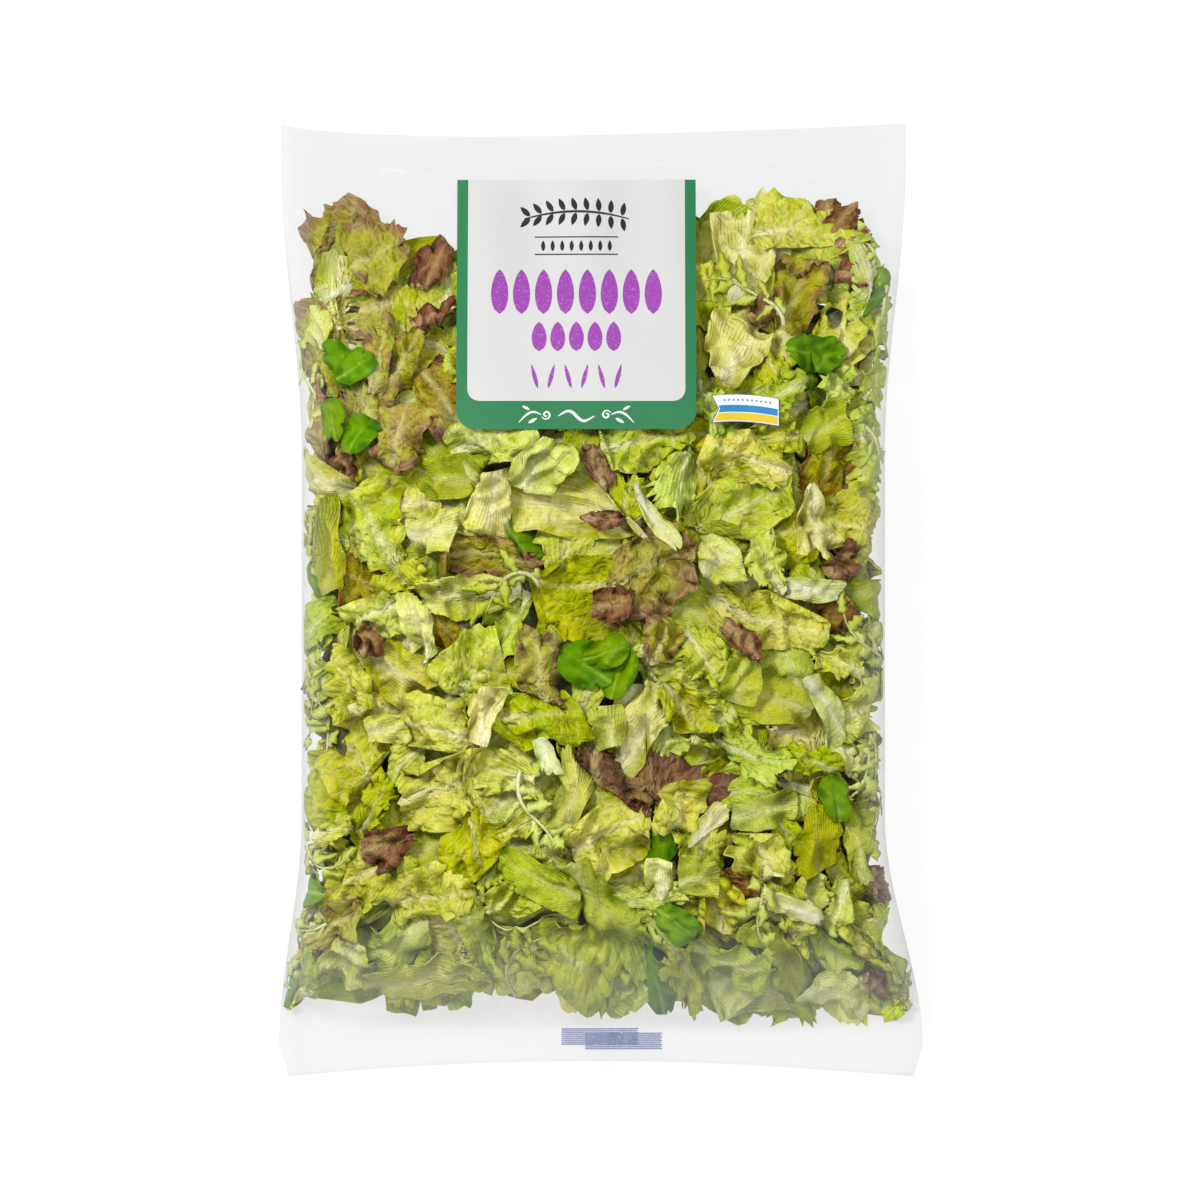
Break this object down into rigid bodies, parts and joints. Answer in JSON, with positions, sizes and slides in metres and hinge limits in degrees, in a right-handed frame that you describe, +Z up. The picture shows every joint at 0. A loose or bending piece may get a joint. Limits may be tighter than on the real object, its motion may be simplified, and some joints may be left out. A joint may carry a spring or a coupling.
{
  "type": "bag of salad leaves",
  "caption": "Sealed clear film pillow bag filled with mixed salad leaves, lying on its back, with a stuck-on front label and a small banner sticker.",
  "frame": {"origin": "middle of the bag's footprint, on the surface that it lies on", "axes": "+X to the right of a reader, +Y along the bag towards its top seal, +Z up through the labelled side"},
  "size_m": [0.271, 0.401, 0.0653],
  "materials": {
    "film_and_leaves": "clear polypropylene film over mixed green and red salad leaves",
    "label": "satin white label with a green border",
    "banner": "satin label in white, blue and yellow bands"
  },
  "bodies": {
    "root": {"bag": "film_and_leaves", "label": "label", "banner_label": "banner"}
  },
  "joints": []
}
